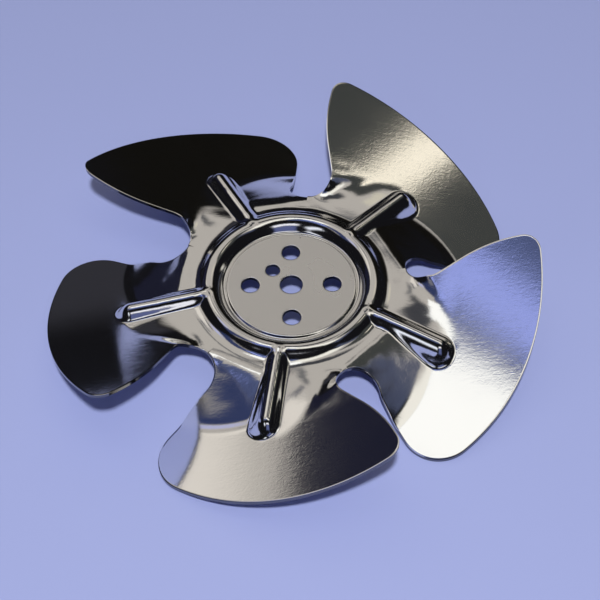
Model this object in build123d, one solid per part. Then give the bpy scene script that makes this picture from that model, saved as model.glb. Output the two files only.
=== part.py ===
"""Axial fan impeller for a refrigeration unit, pressed in one piece from aluminium sheet.

The axis of the fan is Z and the disc that bolts to the motor lies level, its motor face at
height 0. Each blade is formed with its rib along X. Its low corner, clockwise of the rib, is
the one that the fan stands on.
"""
from build123d import *
from math import acos, cos, degrees, radians, sin, sqrt, tan
import os

os.makedirs("parts", exist_ok=True)

# ---- the sheet and the whole fan
sheet = 1.2                # thickness of the aluminium
blade_count = 5
pitch_step = 360 / blade_count
half_step = pitch_step / 2
rib_azimuth = 45.0         # the first rib, counted from a bolt hole

# ---- disc, bead ring and flange, top side, as radius and height over the disc
disc_edge = 20.0
groove_r = 20.9
groove_z = -0.9
bead_peak_r = 24.7
bead_peak_z = 4.1          # before the crest is rounded
bead_foot_r = 29.7
bead_round = 2.8
bead_hollow_flat = 1.0     # cut from each flank under the crest, which keeps the wall even
bead_foot_round = 2.5
flange_lap = 2.3           # level ring outside the bead, where the flange takes over

# ---- holes in the disc
bore_r = 3.55
bolt_circle = 25.4
bolt_count = 4
bolt_hole_r = 2.9
locating_hole_r = 2.3
locating_hole_at = 8.1     # from the fan's axis
locating_azimuth = 135.0

# ---- flange edge, and the ramp from it to the blade
flange_root = 26.0         # the flange starts under the bead ring
flange_edge_x = 35.0       # on the rib line
flange_edge_round = 45.0   # radius of the flange edge in plan, where it crosses the rib
crease_x = 49.2            # foot of the ramp, straight on the low side
crease_round = 49.2        # radius of the foot in plan, on the high side
bend_soft = 2.4            # half length of the soft bends either side of a crease
wing_strips = 7            # one of them on the rib line

# ---- blade surface: sheet rolled about a line along the rib
roll_radius = 300.0
slope_at_rib = 19.6        # degrees
blade_z_at_rib = -4.4      # at the foot of the ramp
droop = 0.036              # fall per mm outwards

# ---- rib pressed up along the middle of the blade
rib_half = 2.9             # half width at the crest, before it is rounded
rib_draft = 22.0           # side walls, degrees off upright
rib_round = 2.2
rib_crest_z = 2.7          # at its inner end, over the disc
rib_fall = 5.5             # degrees, fall of the crest outwards
rib_inner = 24.8
rib_outer = 53.2           # end of the crest
rib_deep = 9.0
rib_lead = 1.5             # reach of the rib into the bead ring

# ---- blade outline in plan
tip_radius = 65.0          # tip arc, about a point set off along its own azimuth
tip_offset = 12.0
tip_azimuth = 18.0
low_edge_angle = -33.5
low_edge_at = (38.6, -20.4)
low_corner_round = 12.0
high_edge_radius = 46.0
high_edge_centre = (81.2, -1.1)
high_corner_round = 5.5
notch_r = 6.8              # round relief between two blades
notch_at = 43.0
notch_corner_round = 8.0   # from the relief into the low edge


def polar(radius, azimuth):
    """A point in plan, from its distance and its azimuth in degrees."""
    return Vector(radius * cos(radians(azimuth)), radius * sin(radians(azimuth)))


def blade_plan():
    """One blade seen from above: tip arc, straight low edge and bowed high edge, corners rounded."""
    tip = Pos(*polar(tip_offset, tip_azimuth)) * Circle(tip_radius)
    bow = Pos(*high_edge_centre) * Circle(high_edge_radius)
    side = Pos(*low_edge_at) * Rot(0, 0, low_edge_angle) * Pos(0, 100) * Rectangle(300, 200)
    plan = tip & bow & side
    corners = plan.vertices().sort_by(Axis.X)[-2:].sort_by(Axis.Y)
    plan = fillet(corners[0], low_corner_round)
    corner = plan.vertices().sort_by(Axis.Y)[-1]
    return fillet(corner, high_corner_round)


def web_plan():
    """Sheet from the axis to the blade's root, its high edge touching the bow and the relief."""
    low, high = polar(notch_at, -half_step), polar(notch_at, half_step)
    bow = Vector(*high_edge_centre)
    gap = high - bow
    square = gap.normalized().rotate(Axis.Z, -degrees(acos((notch_r + high_edge_radius) / gap.length)))
    inward = low + polar(2 * notch_r, low_edge_angle + 90)
    corners = [Vector(0, 0), low, inward, bow + square * high_edge_radius, high - square * notch_r, high]
    return make_face(Polyline(*corners, Vector(0, 0)))


def sector_plan():
    """One pitch of the fan in plan: blade and web, with half a round relief at each side."""
    plan = blade_plan() + web_plan()
    for side in (-half_step, half_step):
        plan -= Pos(*polar(notch_at, side)) * Circle(notch_r)
    beside = plan.vertices().sort_by_distance(polar(notch_at, -half_step))[:2]
    return fillet(beside.sort_by(Axis.X)[-1], notch_corner_round)


# The plan sets how far the formed surface has to reach, and the blocks go well below it.
plan = sector_plan()
blade_reach = plan.bounding_box().max.X + sheet
wing_half = max(plan.bounding_box().max.Y, -plan.bounding_box().min.Y) + sheet
block_depth = blade_reach / 2


def hub_line():
    """Disc, groove, bead ring and flange as radius and height, with their bends left sharp."""
    return Polyline((0, 0), (disc_edge, 0), (groove_r, groove_z), (bead_peak_r, bead_peak_z),
                    (bead_foot_r, 0), (bead_foot_r + flange_lap, 0))


def area_below(line, floor):
    """Area between an open section line, run outwards, and a level floor."""
    a, b = line @ 0, line @ 1
    sides = Polyline((a.X, a.Y), (a.X, floor), (b.X, floor), (b.X, b.Y))
    return make_face(line.edges() + sides.edges())


def turned(area):
    """An area beside the fan's axis, turned about it through one pitch."""
    return Rot(0, 0, -half_step) * revolve(Plane.XZ * area, Axis.Z, pitch_step)


def hub_block():
    """Everything below the top side of the disc, bead ring and flange."""
    area = area_below(hub_line(), -block_depth)
    foot = area.vertices().sort_by_distance((bead_foot_r, 0))[0]
    area = fillet(foot, bead_foot_round)
    crest = area.vertices().sort_by(Axis.Y)[-1]
    return turned(fillet(crest, bead_round))


def hub_hollow():
    """Everything below their back, one sheet lower and flat under the crest of the bead."""
    back = offset(hub_line(), amount=sheet, side=Side.RIGHT, closed=False, kind=Kind.INTERSECTION)
    area = area_below(back, -2 * block_depth)
    crest = area.vertices().sort_by(Axis.Y)[-1]
    return turned(chamfer(crest, bead_hollow_flat))


def flange_edge(y):
    """Outer edge of the level flange, measured out along the rib."""
    return flange_edge_x - y * y / (2 * flange_edge_round)


def crease(y):
    """Foot of the ramp: straight on the low side of the rib, round on the high side."""
    return crease_x if y < 0 else crease_x - y * y / (2 * crease_round)


def blade_height(x, y):
    """Height of the rolled blade over the disc, top side."""
    lean = radians(slope_at_rib)
    centre_y = -roll_radius * sin(lean)
    centre_z = blade_z_at_rib + roll_radius * cos(lean)
    return centre_z - sqrt(roll_radius ** 2 - (y - centre_y) ** 2) - droop * (x - crease_x)


def strip(y, drop_flange, drop_blade):
    """One bent strip across flange, ramp and blade in a plane square to the roll."""
    edge, foot = flange_edge(y), crease(y)
    a = Vector(edge - bend_soft, y, -drop_flange)
    b = Vector(edge, y, -drop_flange)
    c = Vector(foot, y, blade_height(foot, y) - drop_blade)
    d = Vector(blade_reach, y, blade_height(blade_reach, y) - drop_blade)
    ramp, fall = (c - b).normalized(), (d - c).normalized()
    b2, c1, c2 = b + ramp * bend_soft, c - ramp * bend_soft, c + fall * bend_soft
    return Wire([Bezier(a, b, b2), Line(b2, c1), Bezier(c1, c, c2), Line(c2, d)])


def wing_skin(drop_flange, drop_blade):
    """The strips joined into one surface from the flange edge to past the tip."""
    gaps = wing_strips - 1
    spread = [wing_half * (2 * i / gaps - 1) for i in range(wing_strips)]
    rows = [strip(y, drop_flange, drop_blade) for y in spread]
    return Shell.make_loft(rows).faces().sort_by(Axis.X)


def wing_block(drop_flange, drop_blade):
    """Everything below the wing's surface and the flange that carries it."""
    skin = wing_skin(drop_flange, drop_blade)
    across = skin[0].edges().filter_by(lambda e: abs((e @ 0).Y - (e @ 1).Y) > 1)
    edge = across.sort_by(lambda e: (e @ 0.5).X)[0]
    a, b = edge @ 0, edge @ 1
    sides = Polyline((a.X, a.Y), (-flange_root, a.Y), (-flange_root, b.Y), (b.X, b.Y))
    level = Pos(0, 0, -drop_flange)
    flange = (make_face([edge] + (level * sides).edges()) - level * Circle(flange_root)).face()
    blocks = [Solid.extrude(face, Vector(0, 0, -block_depth)) for face in [flange, *skin]]
    return blocks[0].fuse(*blocks[1:])


def rib_bar(inset):
    """The rib as a drafted bar with a round end; an inset of one sheet gives its hollow."""
    draft, fall = radians(rib_draft), radians(rib_fall)
    narrower = inset / cos(draft) - inset * tan(draft)
    half, end = rib_half - narrower, rib_outer - narrower
    crest = Plane(origin=(rib_inner, 0, rib_crest_z - inset / cos(fall)),
                  x_dir=(cos(fall), 0, -sin(fall)), z_dir=(sin(fall), 0, cos(fall)))
    length = (end - rib_inner) / cos(fall)
    bar = Pos((length - half) / 2 - rib_lead / 2) * Rectangle(length - half + rib_lead, 2 * half)
    top = bar + Pos(length - half) * Circle(half)
    return extrude(crest * top, -rib_deep, taper=-rib_draft)


def rib_block():
    """The outside of the rib, its crest rounded all along."""
    bar = rib_bar(0)
    crest = bar.faces().sort_by(lambda f: f.center().Z)[-1]
    return fillet(crest.edges(), rib_round)


def sector():
    """One pitch of the pressed sheet: the block under its top side less the block under its back."""
    slant = sheet / cos(radians(slope_at_rib))
    upper = hub_block().fuse(wing_block(0, 0), rib_block())
    lower = hub_hollow().fuse(wing_block(sheet, slant), rib_bar(sheet))
    punch = Pos(0, 0, -block_depth / 2) * extrude(plan, block_depth)
    return (upper - lower) & punch


def holes():
    """Motor shaft bore, bolt holes and the locating hole, punched through the disc."""
    tools = [Cylinder(bore_r, 4 * sheet)]
    tools += PolarLocations(bolt_circle / 2, bolt_count) * Cylinder(bolt_hole_r, 4 * sheet)
    tools.append(Rot(0, 0, locating_azimuth) * Pos(locating_hole_at, 0) * Cylinder(locating_hole_r, 4 * sheet))
    return tools


def impeller():
    """The whole fan, with its origin in the bore at the face that meets the motor."""
    one = sector()
    turned = [Rot(0, 0, rib_azimuth + pitch_step * i) * one for i in range(blade_count)]
    fan = turned[0].fuse(*turned[1:]).clean()
    fan = fan.cut(*holes())
    return Pos(0, 0, sheet) * fan


fan = impeller()
fan.label = "impeller"
export_step(fan, "parts/impeller.step")
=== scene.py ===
import bpy
import math
import numpy as np
from mathutils import Matrix, Vector
from mathutils.geometry import delaunay_2d_cdt


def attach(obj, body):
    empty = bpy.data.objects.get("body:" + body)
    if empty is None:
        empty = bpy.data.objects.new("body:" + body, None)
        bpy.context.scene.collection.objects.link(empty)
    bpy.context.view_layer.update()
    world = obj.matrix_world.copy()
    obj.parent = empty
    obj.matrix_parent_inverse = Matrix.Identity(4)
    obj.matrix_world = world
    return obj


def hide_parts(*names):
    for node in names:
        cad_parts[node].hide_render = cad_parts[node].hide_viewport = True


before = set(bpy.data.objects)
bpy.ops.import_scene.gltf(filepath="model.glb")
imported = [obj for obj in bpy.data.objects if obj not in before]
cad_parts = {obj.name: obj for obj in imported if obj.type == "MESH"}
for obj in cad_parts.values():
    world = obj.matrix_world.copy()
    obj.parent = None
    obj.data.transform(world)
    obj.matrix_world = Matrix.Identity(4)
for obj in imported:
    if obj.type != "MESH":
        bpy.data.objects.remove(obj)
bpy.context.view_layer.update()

# ---- impeller -------------------------------------------------------------
# The real fan is one pressing of 1.2 mm aluminium sheet: a flat disc in a bead ring, a level
# flange, and five blades, each stiffened by a hollow rib. A press cuts and forms it in dies.
# Lengths are millimetres, x runs out along a rib, and heights are over the disc's top side.
sheet = 1.2
blade_count = 5
half_pitch = 180.0 / blade_count
first_rib = 45.0
web_r = 36.2                 # floor of the notches between blades
roll_width = 0.25            # the punch rolls the cut edges over
roll_drop = 0.12
deepest = 2.6                # on a steep wall the back is at most this many sheets lower
probe = 0.05                 # slopes are taken over this far to each side


def soft_bend(d, w):
    """0 before a bend, d after it, rounded over w on each side."""
    return np.where(d > w, d, np.where(d < -w, 0.0, (d + w) ** 2 / (4 * w)))


# Radius, change of slope and half width of each bend in the hub.
hub_bends = (
    (20.0, -1.0, 0.35),      # rim of the disc
    (20.9, 2.3158, 0.6),     # floor of the groove
    (24.7, -2.1358, 2.9),    # crest of the bead
    (29.7, 0.82, 2.0),       # foot of the bead
)


def hub_height(r):
    """Disc, groove, bead ring and flange."""
    return sum(slope * soft_bend(r - at, w) for at, slope, w in hub_bends)


blade_roll_r = 300.0
blade_lean = math.radians(19.6)
blade_x = 49.2               # the blade's height is given here, on the rib's line
blade_z = -4.4
blade_fall = 0.036


def blade_height(x, y):
    """Sheet rolled about a line along the rib, falling a little outwards."""
    centre_y = -blade_roll_r * math.sin(blade_lean)
    centre_z = blade_z + blade_roll_r * math.cos(blade_lean)
    return centre_z - np.sqrt(blade_roll_r ** 2 - (y - centre_y) ** 2) - blade_fall * (x - blade_x)


# A ramp joins the flange's edge to a crease at the blade. On the low side of the rib both run
# along other lines than on the high side.
low_edge = 35.4
low_edge_splay = 0.304
high_edge = 30.0
high_edge_splay = 0.12
low_crease = 50.2
low_crease_y = 14
low_crease_bow = 60
high_crease = 54.0
high_crease_bow = 20
side_change = 8              # width over which one side turns into the other
ramp_least = 3
ramp_bend = 2.4
flange_r = 26                # inside this radius there is no ramp


def wing_height(x, y):
    """Level flange, ramp and blade, with soft bends between them."""
    off = np.abs(y)
    side = np.clip(0.5 + y / side_change, 0, 1)
    side = side * side * (3 - 2 * side)
    edge = (1 - side) * (low_edge - low_edge_splay * off) + side * (high_edge + high_edge_splay * off)
    low_foot = low_crease - (off - low_crease_y) ** 2 / low_crease_bow
    high_foot = high_crease - y * y / high_crease_bow
    foot = np.maximum((1 - side) * low_foot + side * high_foot, edge + ramp_least)
    ramp = blade_height(foot, y) / (foot - edge)
    levelling = (-blade_fall - ramp) * soft_bend(x - foot, ramp_bend)
    return ramp * soft_bend(x - edge, ramp_bend) + levelling


rib_start = 23.5
rib_nose = 25.5
rib_nose_slope = 1.2
rib_nose_bend = 1.0
rib_end = 50.3               # centre of the round end
rib_half = 2.75
rib_wall = 2.475             # slope of the drafted sides
rib_round = 2.9
rib_crest_x = 24.8
rib_crest = 2.7
rib_fall = 0.0963
rib_blend = 1.3              # the rib runs softly into what it stands on
no_rib = -30.0


def rib_height(x, y):
    """Drafted bar with a round end, crest falling outwards."""
    out = np.hypot(np.maximum(x - rib_end, 0.0), y)
    crest = rib_crest - rib_fall * (x - rib_crest_x)
    side = rib_wall * soft_bend(out - rib_half, rib_round)
    nose = rib_nose_slope * soft_bend(rib_nose - x, rib_nose_bend)
    return np.where(x > rib_start, crest - side - nose, no_rib)


def height(x, y):
    """Top side of the pressing."""
    r = np.hypot(x, y)
    body = hub_height(r) + np.where(r > flange_r, wing_height(x, y), 0.0)
    rib = rib_height(x, y)
    blend = np.maximum(rib_blend - np.abs(body - rib), 0.0) ** 2 / (4 * rib_blend)
    return np.maximum(body, rib) + blend


def underside(x, y, z):
    """Height of the back, one sheet lower square to the surface."""
    slope_x = (height(x + probe, y) - height(x - probe, y)) / (2 * probe)
    slope_y = (height(x, y + probe) - height(x, y - probe)) / (2 * probe)
    return z - sheet * np.minimum(np.sqrt(1 + slope_x ** 2 + slope_y ** 2), deepest)


# The cut line round one blade: two arcs for tip and bow, a straight low side, and the notches.
tip_away = 12
tip_heading = 18
tip_r = 65.0
bow_centre = np.array([81.2, -1.1])
bow_r = 46.0
low_side_point = np.array([38.6, -20.4])
low_side_heading = -33.5
low_corner_r = 12.0
high_corner_r = 5.5
notch_away = 43.0
notch_r = 6.8
notch_ease_r = 8.0           # round between a notch and the low side


def heading(degrees):
    """One step in plan, that way."""
    return np.array([math.cos(math.radians(degrees)), math.sin(math.radians(degrees))])


def arc(centre, radius, a, b, step=0.6):
    """Points on a circle from a to b, the short way round."""
    start, stop = (math.atan2(p[1] - centre[1], p[0] - centre[0]) for p in (a, b))
    turn = (stop - start + math.pi) % (2 * math.pi) - math.pi
    n = max(2, int(abs(turn) * radius / step))
    t = start + turn * np.linspace(0, 1, n, endpoint=False)
    return np.stack([centre[0] + radius * np.cos(t), centre[1] + radius * np.sin(t)], -1)


def blade_outline():
    """One blade and its web in plan, from the middle of one notch floor to the next."""
    tip = tip_away * heading(tip_heading)
    run = heading(low_side_heading)
    inward = np.array([-run[1], run[0]])
    first_notch = notch_away * heading(-half_pitch)
    next_notch = notch_away * heading(half_pitch)
    first_floor = first_notch * web_r / notch_away
    next_floor = next_notch * web_r / notch_away

    def off_low_side(inset_by, centre, radius):
        """The outer point at an inset from the low side and a radius from a centre."""
        base = low_side_point + inward * inset_by
        gap = base - centre
        along = np.dot(gap, run)
        return base + run * (-along + math.sqrt(along * along - np.dot(gap, gap) + radius ** 2))

    ease = off_low_side(notch_ease_r, first_notch, notch_r + notch_ease_r)
    ease_start = first_notch + (ease - first_notch) * notch_r / (notch_r + notch_ease_r)
    ease_stop = ease - inward * notch_ease_r
    corner = off_low_side(low_corner_r, tip, tip_r - low_corner_r)
    corner_start = corner - inward * low_corner_r
    corner_stop = tip + (corner - tip) * tip_r / (tip_r - low_corner_r)
    # The high corner lies inside both the tip's circle and the bow's.
    in_tip = tip_r - high_corner_r
    in_bow = bow_r - high_corner_r
    apart = np.hypot(*(bow_centre - tip))
    toward = (bow_centre - tip) / apart
    along = (in_tip * in_tip - in_bow * in_bow + apart * apart) / (2 * apart)
    aside = math.sqrt(in_tip * in_tip - along * along) * np.array([-toward[1], toward[0]])
    peak = tip + along * toward + aside
    peak_start = tip + (peak - tip) * tip_r / in_tip
    peak_stop = bow_centre + (peak - bow_centre) * bow_r / in_bow
    # A straight line touches both the bow and the next notch.
    gap = next_notch - bow_centre
    swing = math.acos((notch_r + bow_r) / np.hypot(*gap))
    touch = heading(math.degrees(math.atan2(gap[1], gap[0]) - swing))
    bow_stop = bow_centre + bow_r * touch
    notch_start = next_notch - notch_r * touch
    return np.concatenate([
        arc(first_notch, notch_r, first_floor, ease_start),
        arc(ease, notch_ease_r, ease_start, ease_stop),
        np.linspace(ease_stop, corner_start, 24, endpoint=False),
        arc(corner, low_corner_r, corner_start, corner_stop),
        arc(tip, tip_r, corner_stop, peak_start),
        arc(peak, high_corner_r, peak_start, peak_stop, 0.4),
        arc(bow_centre, bow_r, peak_stop, bow_stop),
        np.linspace(bow_stop, notch_start, 12, endpoint=False),
        arc(next_notch, notch_r, notch_start, next_floor),
        next_floor[None],
    ])


def inside(loop, p):
    """Which points lie inside a closed plan loop."""
    hit = np.zeros(len(p), bool)
    for (x0, y0), (x1, y1) in zip(loop, np.roll(loop, -1, 0)):
        spans = (y0 > p[:, 1]) != (y1 > p[:, 1])
        at = x0 + (p[:, 1] - y0) * (x1 - x0) / (y1 - y0 if y1 != y0 else 1e-12)
        hit ^= spans & (p[:, 0] < at)
    return hit


def inset(chain, depth, closed):
    """A chain of plan points moved left of its run, which is into the sheet."""
    if closed:
        run = np.roll(chain, -1, 0) - np.roll(chain, 1, 0)
    else:
        run = np.gradient(chain, axis=0)
        run[0] = [-chain[0][1], chain[0][0]]
        run[-1] = [-chain[-1][1], chain[-1][0]]
    run = run / np.hypot(*run.T)[:, None]
    return chain + depth * np.stack([-run[:, 1], run[:, 0]], -1)


def sheet_mesh(name, loop, cuts, fill, spacing):
    """Both sides and the cut edges of a plan loop, lifted to the pressed height, in metres.

    A cut is a chain of points with the sheet on its left. A closed one is a hole, and an open
    one is the start of the loop. Fill points keep the spacing from every line.
    """
    holes = [chain for chain, closed in cuts if closed]
    rolls = []
    for chain, closed in cuts:
        for depth in (roll_width, 2 * roll_width):
            moved = inset(chain, depth, closed)
            rolls.append(moved if closed else moved[1:-1])
    keep = inside(loop, fill)
    for ring in [loop] + holes + rolls:
        for p in ring:
            keep &= np.hypot(*(fill - p).T) > spacing
    points = np.concatenate([loop] + holes + rolls + [fill[keep]])
    edges = []
    first = 0
    for ring, closed in [(loop, True)] + [(h, True) for h in holes] + [(r, False) for r in rolls]:
        n = len(ring)
        edges += [(first + k, first + (k + 1) % n) for k in range(n if closed else n - 1)]
        first += n
    laid = delaunay_2d_cdt([Vector(p) for p in points], edges, [], 0, 1e-7)
    plan = np.array([v[:] for v in laid[0]])
    triangles = np.array([f[:] for f in laid[2]])
    middles = plan[triangles].mean(1)
    solid = inside(loop, middles)
    for ring in holes:
        solid &= ~inside(ring, middles)
    top = triangles[solid]
    count = len(plan)
    became = {given: k for k, group in enumerate(laid[3]) for given in group}
    z = height(plan[:, 0], plan[:, 1])
    back = underside(plan[:, 0], plan[:, 1], z)
    walls = []
    next_hole = len(loop)
    for chain, closed in cuts:
        start = next_hole if closed else 0
        next_hole += len(chain) if closed else 0
        ids = [became[start + k] for k in range(len(chain))]
        z[ids] -= roll_drop
        after = ids[1:] + ids[:1] if closed else ids[1:]
        walls += [(a, a + count, b + count, b) for a, b in zip(ids, after)]
    both = np.concatenate([np.column_stack([plan, z]), np.column_stack([plan, back])]) + [0, 0, sheet]
    faces = top.tolist() + (top[:, ::-1] + count).tolist() + walls
    mesh = bpy.data.meshes.new(name)
    mesh.from_pydata((both / 1000).tolist(), [], faces)
    mesh.polygons.foreach_set("use_smooth", [True] * len(mesh.polygons))
    mesh.update()
    return mesh


def polar(radii, angles):
    """Plan points at every radius and angle, ring by ring."""
    return np.stack([np.outer(radii, np.cos(angles)).ravel(), np.outer(radii, np.sin(angles)).ravel()], -1)


def grid(x0, x1, y0, y1, step):
    """Square plan points, a little off the axes so that none falls on a line."""
    gx, gy = np.meshgrid(np.arange(x0, x1, step), np.arange(y0, y1, step), indexing="ij")
    return np.stack([gx.ravel() + 0.013, gy.ravel() + 0.007], -1)


# One pitch of the pressing, from inside the disc's rim to the blade's tip, finest along the rib
# and the bead. The angles stop at 35 degrees, which leaves a corner of 0.4 by 0.3 mm open.
seam_r = 18.6
angles = np.radians(np.concatenate([
    np.arange(-half_pitch, -17, 1.5), np.arange(-17, 17, 0.75), np.arange(17, half_pitch + 0.01, 1.5)]))
rings = np.concatenate([np.arange(19.4, 29.9, 0.32), np.arange(30.2, 36.0, 0.6)])
rings = rings[rings < web_r - 2.4 * roll_width]
flank_r = np.concatenate([[seam_r, 19.0], rings, [web_r - 2 * roll_width, web_r - roll_width, web_r]])
flank = flank_r[:, None] * heading(half_pitch)
seam = polar([seam_r], angles)
cut_line = blade_outline()
loop = np.concatenate([cut_line[:-1], flank[::-1][:-1], seam[::-1][:-1], (flank * [1, -1])[:-1]])
by_rib = grid(36.6, 58.0, -8.0, 8.0, 0.42)
ramps = grid(34.0, 58.0, -34.0, 34.0, 0.85)
ramps = ramps[np.abs(ramps[:, 1]) > 8.4]
wing = np.concatenate([by_rib, ramps])
wing = wing[np.hypot(*wing.T) > 36.4]
outer_blade = grid(58.4, 78.0, -36.0, 44.0, 1.3)
fill = np.concatenate([polar(rings, angles[1:-1]), wing, outer_blade])
sector_mesh = sheet_mesh("pressed sector", loop, [(cut_line, False)], fill, 0.3)
sector = bpy.data.objects.new("pressed sector", sector_mesh)
bpy.context.scene.collection.objects.link(sector)

# The flat disc with its bore, four bolt holes and locating hole, which don't repeat with the
# blades.
bore_r = 3.55
bolt_hole_r = 2.9
bolt_circle_r = 12.7
locating_r = 2.3
locating_away = 8.1
locating_heading = 135


def circle(radius, n):
    """Plan points round the origin."""
    return polar([radius], np.arange(n) * 2 * math.pi / n)


holes = [circle(bore_r, 56)]
for k in range(4):
    holes.append(bolt_circle_r * heading(90 * k) + circle(bolt_hole_r, 48))
holes.append(locating_away * heading(locating_heading) + circle(locating_r, 40))
rim = []
for k in range(blade_count):
    rim.append(polar([seam_r], angles[:-1] + math.radians(first_rib + 2 * half_pitch * k)))
disc_cuts = [(ring[::-1], True) for ring in holes]
disc_mesh = sheet_mesh("disc", np.concatenate(rim), disc_cuts, grid(-19, 19, -19, 19, 1.1), 0.4)
disc = bpy.data.objects.new("disc", disc_mesh)
bpy.context.scene.collection.objects.link(disc)


class Field:
    """One output of a node. Arithmetic on it adds Math nodes to the same tree."""

    def __init__(self, tree, socket=None):
        self.tree = tree
        self.socket = socket

    def node(self, kind, settings, sockets, output=0):
        """Add a node: its settings first, then the values or links of its sockets."""
        new = self.tree.nodes.new(kind)
        for name, setting in settings.items():
            setattr(new, name, setting)
        for name, given in sockets.items():
            for item in given if isinstance(given, list) else [given]:
                if isinstance(item, Field):
                    self.tree.links.new(item.socket, new.inputs[name])
                else:
                    new.inputs[name].default_value = item
        return Field(self.tree, new.outputs[output] if new.outputs else None)

    def out(self, name):
        """Another output of the same node."""
        return Field(self.tree, self.socket.node.outputs[name])

    def maths(self, operation, *terms):
        """A Math node on numbers and fields."""
        return self.node("ShaderNodeMath", {"operation": operation}, dict(enumerate(terms)))

    def __add__(self, other):
        return self.maths("ADD", self, other)

    def __sub__(self, other):
        return self.maths("SUBTRACT", self, other)

    def __rsub__(self, other):
        return self.maths("SUBTRACT", other, self)

    def __mul__(self, other):
        return self.maths("MULTIPLY", self, other)

    def __truediv__(self, other):
        return self.maths("DIVIDE", self, other)

    def __rtruediv__(self, other):
        return self.maths("DIVIDE", other, self)

    __radd__ = __add__
    __rmul__ = __mul__

    def ramp(self, start, stop):
        """0 at start and 1 at stop, with soft ends."""
        return self.node("ShaderNodeMapRange", {"interpolation_type": "SMOOTHSTEP"},
                         {"Value": self, "From Min": start, "From Max": stop})


# Bright mill finish. The disc is more satin than the blades. Painted shade: the cut wall round the
# outline is painted dark grey, standing in for the shadowed table it reflects beside the near edges.
bright = (0.90, 0.895, 0.885, 1)
# painted shade: dark grey for the cut walls, in place of the shadowed table they reflect
painted_edge_shade_grey = (0.20, 0.20, 0.22, 1)
blade_roughness = 0.06
patchy_roughness = 0.06
disc_roughness = 0.19        # on top of the blades'
bump_height = 0.00002
wrinkle_share = 0.40
brush_share = 0.12
scuff_share = 0.20
wave_share = 0.7             # everywhere, and the web's share on top where the press drew it
web_wave_share = 9.0
metal = bpy.data.materials.new("bright aluminium")
metal.use_nodes = True
metal.node_tree.nodes.clear()
where = Field(metal.node_tree).node("ShaderNodeTexCoord", {}, {}, "Object")


def grain(turn, stretch, scale, detail, distortion):
    """Noise over the sheet, pulled out along a direction in plan."""
    turned = where.node("ShaderNodeMapping", {}, {
        "Vector": where, "Rotation": (0, 0, math.radians(turn)), "Scale": (1, stretch, 1)})
    return where.node("ShaderNodeTexNoise", {}, {
        "Vector": turned, "Scale": scale, "Detail": detail, "Distortion": distortion}, "Fac")


spot = where.node("ShaderNodeSeparateXYZ", {}, {0: where})
from_axis = where.maths("SQRT", spot.out("X") * spot.out("X") + spot.out("Y") * spot.out("Y"))
on_disc = from_axis.ramp(0.0200, 0.0194)
on_web = from_axis.ramp(0.0285, 0.0310) * from_axis.ramp(0.0520, 0.0440)
wrinkle = grain(20, 1.25, 620, 2.5, 1.6)
brush = grain(78, 14, 260, 3, 0.0)
scuff = grain(-35, 9, 120, 4, 0.3)
waves = grain(25, 1.0, 75, 1.0, 0.8) * (on_web * web_wave_share + wave_share)
relief = wrinkle * wrinkle_share + brush * brush_share + scuff * scuff_share + waves
upright = where.node("ShaderNodeSeparateXYZ", {}, {0: where.out("Normal")}, "Z")
# Painted shade: faces that stand near upright, which are the cut walls, turn dark grey.
painted_edge_shade_mask = where.maths("ABSOLUTE", upright).ramp(0.32, 0.12)
colour_with_painted_edge_shade = where.node("ShaderNodeMix", {"data_type": "RGBA"}, {
    "Factor": painted_edge_shade_mask, "A": bright, "B": painted_edge_shade_grey}, "Result")
bumpy = where.node("ShaderNodeBump", {}, {
    "Strength": 1.0, "Distance": bump_height, "Height": relief})
patches = grain(0, 1, 45, 3, 0.5)
satin = on_disc * disc_roughness + patches * patchy_roughness + blade_roughness
finish = where.node("ShaderNodeBsdfPrincipled", {}, {
    "Metallic": 1.0, "Base Color": colour_with_painted_edge_shade, "Roughness": satin, "Normal": bumpy})
where.node("ShaderNodeOutputMaterial", {}, {"Surface": finish})

# The five blades are one formed sector turned round the axis, with the disc dropped in.
weld_distance = 0.00002
crease_angle = math.radians(50)
turns = bpy.data.node_groups.new("turn the sector round the axis", "GeometryNodeTree")
turns.interface.new_socket("Geometry", in_out="INPUT", socket_type="NodeSocketGeometry")
turns.interface.new_socket("Geometry", in_out="OUTPUT", socket_type="NodeSocketGeometry")
inputs = {}
for label, kind, value in (("Blades", "Int", blade_count), ("First rib", "Float", math.radians(first_rib)),
                           ("Disc", "Object", disc), ("Weld", "Float", weld_distance),
                           ("Metal", "Material", metal)):
    new_input = turns.interface.new_socket(label, in_out="INPUT", socket_type="NodeSocket" + kind)
    inputs[new_input.identifier] = value
given = Field(turns).node("NodeGroupInput", {}, {})
blades = given.out("Blades")
index = given.node("GeometryNodeInputIndex", {}, {})
turned = given.node("ShaderNodeCombineXYZ", {}, {
    "Z": index * (2 * math.pi / blades) + given.out("First rib")})
placed = given.node("GeometryNodeInstanceOnPoints", {}, {
    "Points": given.node("GeometryNodePoints", {}, {"Count": blades}),
    "Instance": given.out("Geometry"), "Rotation": turned})
real = given.node("GeometryNodeRealizeInstances", {}, {0: placed})
middle = given.node("GeometryNodeObjectInfo", {}, {"Object": given.out("Disc")}, "Geometry")
joined = given.node("GeometryNodeJoinGeometry", {}, {0: [middle, real]})
welded = given.node("GeometryNodeMergeByDistance", {}, {
    "Geometry": joined, "Distance": given.out("Weld")})
painted = given.node("GeometryNodeSetMaterial", {}, {
    "Geometry": welded, "Material": given.out("Metal")})
given.node("NodeGroupOutput", {}, {0: painted})
maker = sector.modifiers.new("turn", "NODES")
maker.node_group = turns
for identifier, value in inputs.items():
    maker[identifier] = value
bpy.context.view_layer.update()
formed = bpy.data.meshes.new_from_object(sector.evaluated_get(bpy.context.evaluated_depsgraph_get()))
formed.set_sharp_from_angle(angle=crease_angle)
impeller = bpy.data.objects.new("pressed_sheet", formed)
bpy.context.scene.collection.objects.link(impeller)
bpy.data.objects.remove(sector)
bpy.data.objects.remove(disc)
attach(impeller, "root")
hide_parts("impeller")

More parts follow.
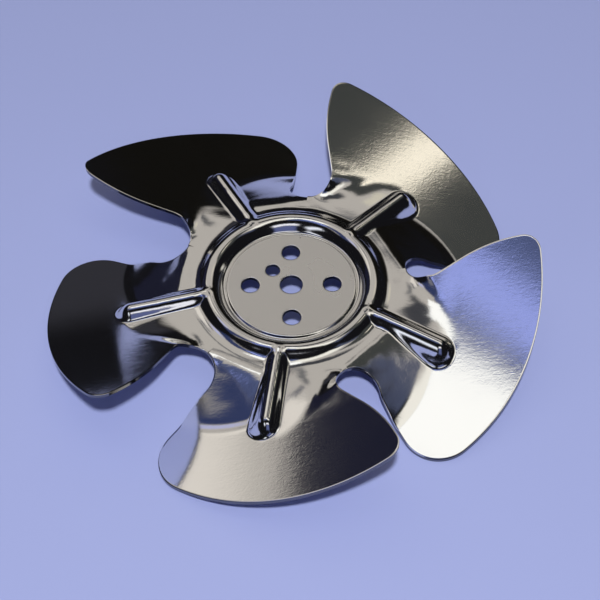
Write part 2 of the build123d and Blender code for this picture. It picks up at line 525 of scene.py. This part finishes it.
# ---- table ----------------------------------------------------------------
# The fan lies loose on a plain lavender table top with a satin finish, standing on the lowest
# corners of its blades.
table_z = -0.01414
table_size = 4
bpy.ops.mesh.primitive_plane_add(size=table_size, location=(0, 0, table_z))
table = bpy.context.object
table.name = "table"
table_top = bpy.data.materials.new("table")
table_top.use_nodes = True
table_top.node_tree.nodes.clear()
lavender = Field(table_top.node_tree).node("ShaderNodeBsdfPrincipled", {}, {
    "Base Color": (0.36, 0.40, 0.68, 1), "Roughness": 0.45, "Specular IOR Level": 0.15})
lavender.node("ShaderNodeOutputMaterial", {}, {"Surface": lavender})
table.data.materials.append(table_top)

# ---- camera ---------------------------------------------------------------
# A long lens about 0.62 m from the disc, looking down at it from 52 degrees. The picture is 600
# pixels square, the lens is in those pixels, and pan and tilt are in radians.
picture = 600
focal = 1994.83
distance = 617.658035
elevation = math.radians(52.10)
roll = math.radians(0.906)
pan = -0.0042
tilt = -0.0085
sin_e = math.sin(elevation)
cos_e = math.cos(elevation)
level_axes = np.array([[1, 0, 0], [0, sin_e, cos_e], [0, cos_e, -sin_e]])
pan_turn = np.array([[math.cos(pan), 0, math.sin(pan)], [0, 1, 0], [-math.sin(pan), 0, math.cos(pan)]])
tilt_turn = np.array([[1, 0, 0], [0, math.cos(tilt), -math.sin(tilt)], [0, math.sin(tilt), math.cos(tilt)]])
across, upward, ahead = tilt_turn @ pan_turn @ level_axes
right = math.cos(roll) * across - math.sin(roll) * upward
up = math.sin(roll) * across + math.cos(roll) * upward
sensor = 36
lens = bpy.data.cameras.new("camera")
lens.sensor_width = sensor
lens.lens = focal / picture * sensor
lens.shift_y = 1 / picture
lens.clip_start = 0.05
lens.clip_end = 20
camera = bpy.data.objects.new("camera", lens)
bpy.context.scene.collection.objects.link(camera)
stand = Vector((0, -distance * cos_e, distance * sin_e + sheet)) / 1000
facing = Matrix([[right[i], up[i], -ahead[i]] for i in range(3)])
camera.matrix_world = Matrix.Translation(stand) @ facing.to_4x4()
bpy.context.scene.camera = camera

# ---- light ----------------------------------------------------------------
# A dark room with soft cards round the fan, as the bright metal shows them. Places are degrees
# from straight overhead, to the right and away from the camera.
# A card is drawn over the colour behind it, with soft edges, and may be turned.
card_group = bpy.data.node_groups.new("soft card", "ShaderNodeTree")
for label in ("Right", "Away", "Centre right", "Centre away", "Turn", "Half width", "Half height", "Soft"):
    card_group.interface.new_socket(label, in_out="INPUT", socket_type="NodeSocketFloat")
for label in ("Colour", "Behind"):
    card_group.interface.new_socket(label, in_out="INPUT", socket_type="NodeSocketColor")
card_group.interface.new_socket("Colour", in_out="OUTPUT", socket_type="NodeSocketColor")
card = Field(card_group).node("NodeGroupInput", {}, {})
off_right = card.out("Right") - card.out("Centre right")
off_away = card.out("Away") - card.out("Centre away")
cosine = card.maths("COSINE", card.out("Turn"))
sine = card.maths("SINE", card.out("Turn"))
within = []
for off, half in ((off_right * cosine + off_away * sine, "Half width"),
                  (off_away * cosine - off_right * sine, "Half height")):
    outer = card.out(half) + card.out("Soft")
    inner = card.out(half) - card.out("Soft")
    within.append(card.maths("ABSOLUTE", off).ramp(outer, inner))
covered = card.node("ShaderNodeMix", {"data_type": "RGBA"}, {
    "Factor": within[0] * within[1], "A": card.out("Behind"), "B": card.out("Colour")}, "Result")
card.node("NodeGroupOutput", {}, {0: covered})


def linear(shade):
    """Linear colour of a screen colour, 0 to 255."""
    return tuple(((c / 255 + 0.055) / 1.055) ** 2.4 for c in shade)


room = bpy.data.worlds.new("room")
bpy.context.scene.world = room
room.use_nodes = True
room.node_tree.nodes.clear()
look = Field(room.node_tree).node("ShaderNodeTexCoord", {}, {}, "Generated")
over_one = 1.0001            # keeps the division below off zero straight overhead
toward = look.node("ShaderNodeSeparateXYZ", {}, {0: look})
sideways = look.maths("SQRT", over_one - toward.out("Z") * toward.out("Z"))
from_overhead = look.maths("DEGREES", look.maths("ARCCOSINE", toward.out("Z")))
looks_right = toward.out("X") / sideways * from_overhead
looks_away = toward.out("Y") / sideways * from_overhead
# Right, away, turn, half width, half height, soft edge, and the colour as the metal shows it.
cards = (
    ("ceiling", -4, 20, 0, 40, 34, 3, (174, 169, 163)),
    ("ceiling panel", 8, 45, 20, 7, 3, 2.5, (84, 84, 86)),
    ("ceiling rail", -8, 31, -25, 6, 2.5, 2.5, (98, 98, 100)),
    ("corner of the ceiling", -48, 46, 45, 16, 12.8, 0.8, (26, 27, 42)),
    ("dark shelf", 30, 56, -30, 20, 12, 4, (16, 15, 13)),
    ("right wall", 33, 14, 0, 14, 14, 1.5, (58, 60, 59)),
    ("cream board", 32.3, 16.6, -39, 1.9, 5, 0.6, (255, 246, 226)),
    ("cream shelf", 25, 34.5, -35, 5, 3, 1.5, (196, 190, 174)),
    ("dark beam", 3, 17, 0, 9, 8, 3, (58, 59, 64)),
    ("left beam", -24, 24, 35, 10, 2.4, 1.6, (66, 70, 84)),
    ("left cream board", -28, 30, 40, 6, 9, 2.0, (214, 208, 200)),
    ("dark front", -12, -10, 0, 14, 9, 0.8, (70, 80, 116)),
    ("blue window", -15.5, -7.9, 14, 9, 2.1, 0.6, (150, 162, 230)),
    ("left wall", -37, -5, 0, 12, 7, 2.5, (46, 55, 90)),
    ("lavender wall", -38, 9, 0, 5, 5, 2, (172, 174, 208)),
    ("right window", 14, -9, -25, 16, 6, 2.5, (236, 233, 224)),
    ("right post", 35, -12, 0, 3, 12, 2, (68, 74, 96)),
    ("overhead window", -7, 4.0, 0, 9, 5.9, 0.8, (253, 253, 250)),
    ("front window", 6, -47, 0, 16, 5, 3, (232, 232, 242)),
    ("front wall", 8, -64, 0, 16, 11, 3, (84, 92, 134)),
    ("left front window", -30, -46, -58, 12, 5, 4, (232, 236, 248)),
    ("dark far wall", -16, 66, 0, 8, 8, 3, (46, 46, 52)),
    ("low right card", 83, 29, 15, 8, 5, 3, (200, 196, 186)),
)
dark_room = (19, 19, 22)
metal_share = 0.9            # what the metal gives back of the light
backdrop = (0.80, 0.83, 0.92, 1)
colour = (*linear(dark_room), 1)
for label, centre_right, centre_away, turn, half_width, half_height, soft, shade in cards:
    colour = look.node("ShaderNodeGroup", {"node_tree": card_group, "label": label}, {
        "Right": looks_right, "Away": looks_away,
        "Centre right": centre_right, "Centre away": centre_away, "Turn": math.radians(turn),
        "Half width": half_width, "Half height": half_height, "Soft": soft,
        "Colour": (*[c / metal_share for c in linear(shade)], 1), "Behind": colour})
seen = look.node("ShaderNodeMix", {"data_type": "RGBA"}, {
    "Factor": look.node("ShaderNodeLightPath", {}, {}, "Is Camera Ray"),
    "A": colour, "B": backdrop}, "Result")
glow = look.node("ShaderNodeBackground", {}, {"Color": seen})
look.node("ShaderNodeOutputWorld", {}, {"Surface": glow})

# A lamp over the front of the table throws the narrow shadows under the near edges, and a broad
# one overhead fills them. The metal doesn't show either.
for name, size, power, place in (("front lamp", 0.07, 13.0, (0, -0.58, 1.05)),
                                 ("overhead lamp", 0.9, 0.4, (0.1, -0.1, 1.1))):
    lamp = bpy.data.lights.new(name, "AREA")
    lamp.shape = "DISK"
    lamp.size = size
    lamp.energy = power
    lamp.color = (0.95, 0.97, 1.0)
    holder = bpy.data.objects.new(name, lamp)
    holder.location = place
    holder.rotation_euler = Vector(place).to_track_quat("Z", "Y").to_euler()
    holder.visible_glossy = False
    bpy.context.scene.collection.objects.link(holder)
bpy.context.scene.view_settings.view_transform = "Standard"
